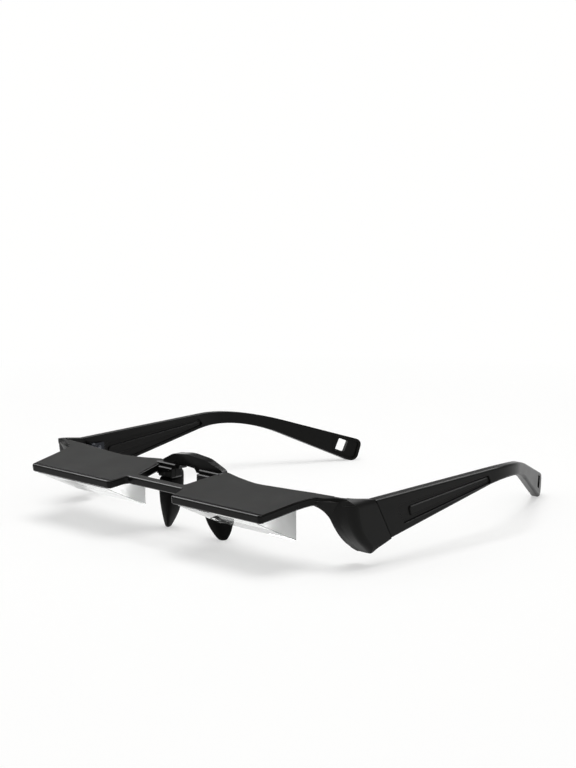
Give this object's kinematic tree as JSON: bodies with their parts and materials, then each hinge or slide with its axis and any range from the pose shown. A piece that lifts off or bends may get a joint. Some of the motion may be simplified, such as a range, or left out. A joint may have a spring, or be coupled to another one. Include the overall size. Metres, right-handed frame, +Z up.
{
  "type": "prism bed glasses",
  "caption": "Black spectacle frame with two flat roofs over clear prisms that turn the view down, soft nose pads, an arched nose bridge and folding temples with strap slots.",
  "frame": {"origin": "on the table plane, under the middle of the open frame's length and width", "axes": "+Z up, -Y towards the front edges of the roofs, +Y towards the temple ends, +X towards the temple named right"},
  "size_m": [0.1604, 0.1698, 0.0304],
  "materials": {
    "black_plastic": "satin black moulded plastic with glossy rounded edges",
    "clear_prism": "polished clear acrylic with a mirrored upper face",
    "black_silicone": "soft black silicone",
    "hinge_steel": "stamped steel with a black oxide skin",
    "screw_steel": "turned steel with a straight slot"
  },
  "bodies": {
    "front": {"front_frame": "black_plastic", "prism_right": "clear_prism", "prism_left": "clear_prism", "nose_pad_right": "black_silicone", "nose_pad_left": "black_silicone", "hinge_frame_leaf_right": "hinge_steel", "hinge_frame_leaf_left": "hinge_steel", "hinge_screw_right": "screw_steel", "hinge_screw_left": "screw_steel", "frame_leaf_screws_right": "screw_steel", "frame_leaf_screws_left": "screw_steel"},
    "temple_arm_right": {"temple_right": "black_plastic", "hinge_temple_leaf_right": "hinge_steel", "temple_leaf_screws_right": "screw_steel"},
    "temple_arm_left": {"temple_left": "black_plastic", "hinge_temple_leaf_left": "hinge_steel", "temple_leaf_screws_left": "screw_steel"}
  },
  "joints": [
    {"name": "temple_fold_right", "type": "hinge", "parent": "front", "child": "temple_arm_right", "pos_m": [0.0751, -0.04368, 0.0174], "axis": [0, 0, 1], "range_deg": [0, 85]},
    {"name": "temple_fold_left", "type": "hinge", "parent": "front", "child": "temple_arm_left", "pos_m": [-0.0751, -0.04368, 0.0174], "axis": [0, 0, -1], "range_deg": [0, 72]}
  ]
}
